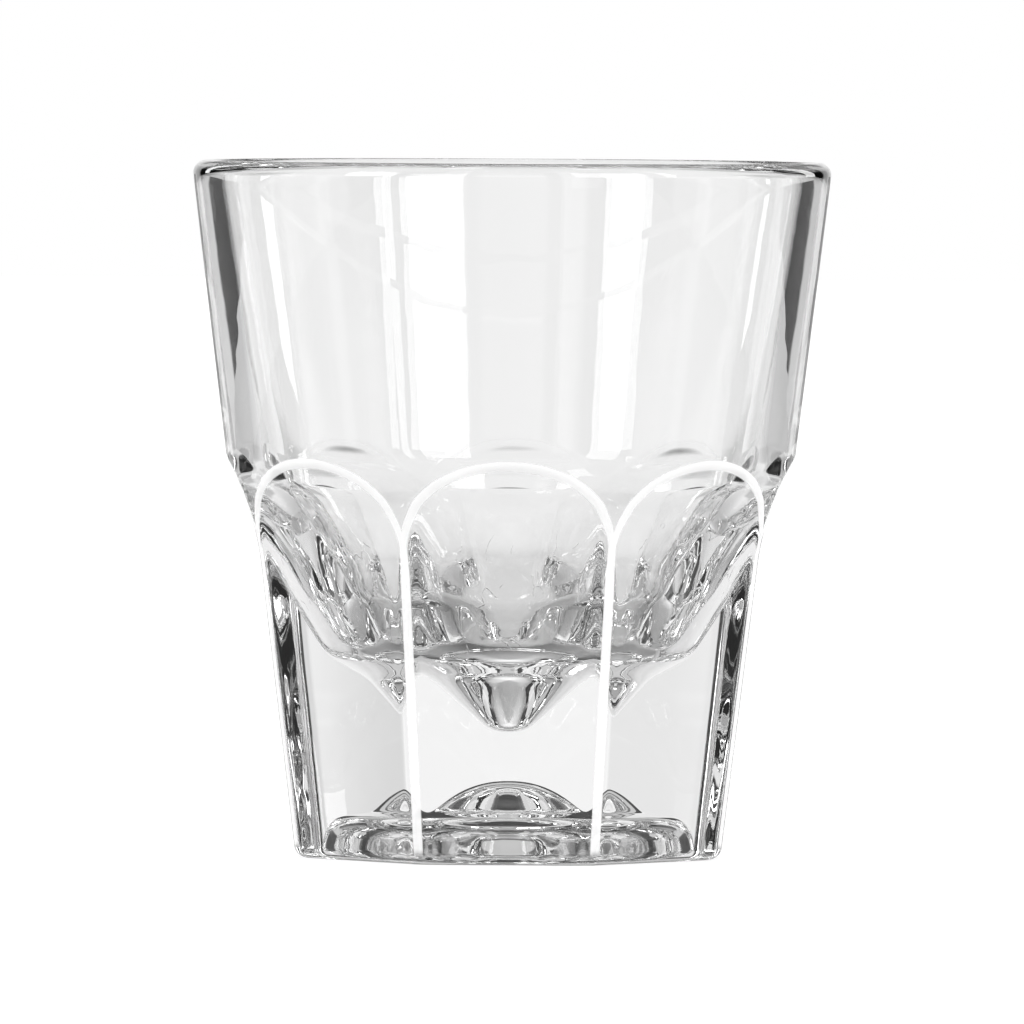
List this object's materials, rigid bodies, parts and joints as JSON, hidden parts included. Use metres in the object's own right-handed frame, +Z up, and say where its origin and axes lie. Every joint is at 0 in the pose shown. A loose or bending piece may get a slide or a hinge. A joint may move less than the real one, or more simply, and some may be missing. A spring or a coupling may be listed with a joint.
{
  "type": "cortado glass",
  "caption": "Clear pressed-glass cortado tumbler with a round tapered rim, arched flat panels round a thick foot and a conical bowl.",
  "frame": {"origin": "centre of the flat ring that the glass stands on", "axes": "+Z up along the glass's own axis, -Y out of the middle of one panel"},
  "size_m": [0.073, 0.073, 0.0794],
  "materials": {
    "glass": "clear, fire-polished pressed glass"
  },
  "bodies": {
    "root": {"tumbler": "glass"}
  },
  "joints": []
}
